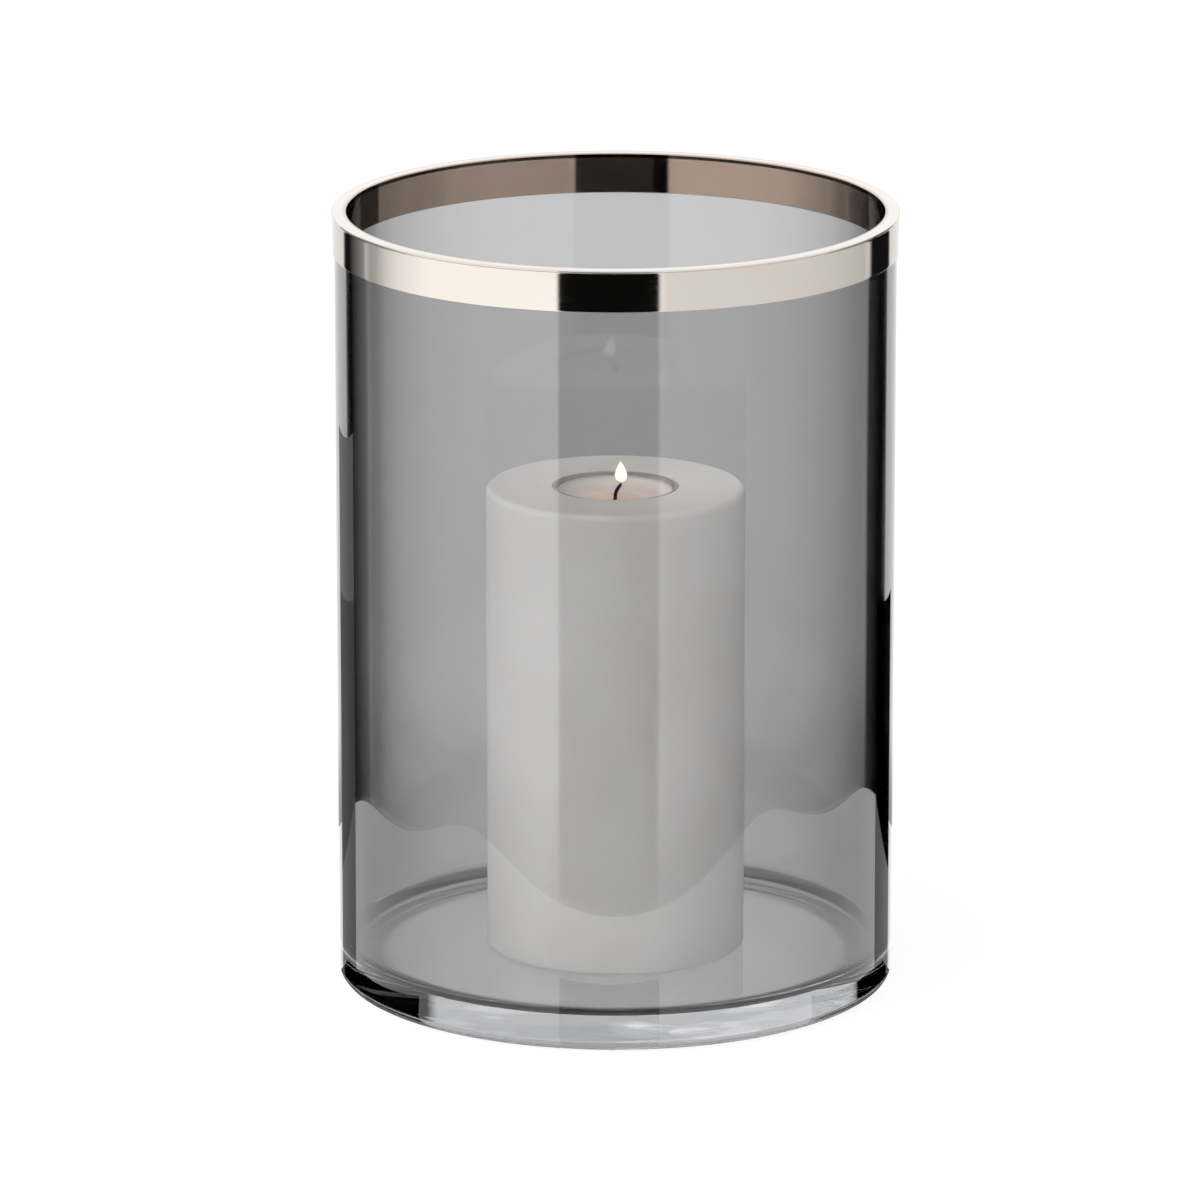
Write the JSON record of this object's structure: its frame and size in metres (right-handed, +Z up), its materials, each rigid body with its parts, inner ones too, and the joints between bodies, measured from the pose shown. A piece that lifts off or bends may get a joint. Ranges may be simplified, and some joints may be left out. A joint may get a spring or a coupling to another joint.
{
  "type": "hurricane candle lantern",
  "caption": "Smoked glass cylinder with a heavy base and a polished metal rim band, round a hard wax pillar that holds a lift-out tealight.",
  "frame": {"origin": "centre of the foot ring, on the surface that the lantern stands on", "axes": "+Z up along the glass cylinder's axis; +X is the side that the wick leans to"},
  "size_m": [0.179, 0.179, 0.25],
  "materials": {
    "smoked_glass": "clear grey, polished, paler at the base",
    "polished_metal": "warm white mirror polish",
    "pillar_wax": "hard wax, satin",
    "aluminium": "bright pressed foil",
    "paraffin": "translucent wax",
    "charred_cotton": "burnt braid",
    "tinned_steel": "tinned",
    "flame": "burning candle flame"
  },
  "bodies": {
    "glass": {"glass_vessel": "smoked_glass", "rim_band": "polished_metal"},
    "candle": {"candle_shell": "pillar_wax"},
    "tealight": {"tealight_cup": "aluminium", "tealight_wax": "paraffin", "wick": "charred_cotton", "wick_sustainer": "tinned_steel"}
  },
  "joints": [
    {"name": "candle_lift", "type": "slide", "parent": "glass", "child": "candle", "axis": [0, 0, 1], "range_m": [0, 0.245]},
    {"name": "tealight_lift", "type": "slide", "parent": "candle", "child": "tealight", "axis": [0, 0, 1], "range_m": [0, 0.11]}
  ]
}
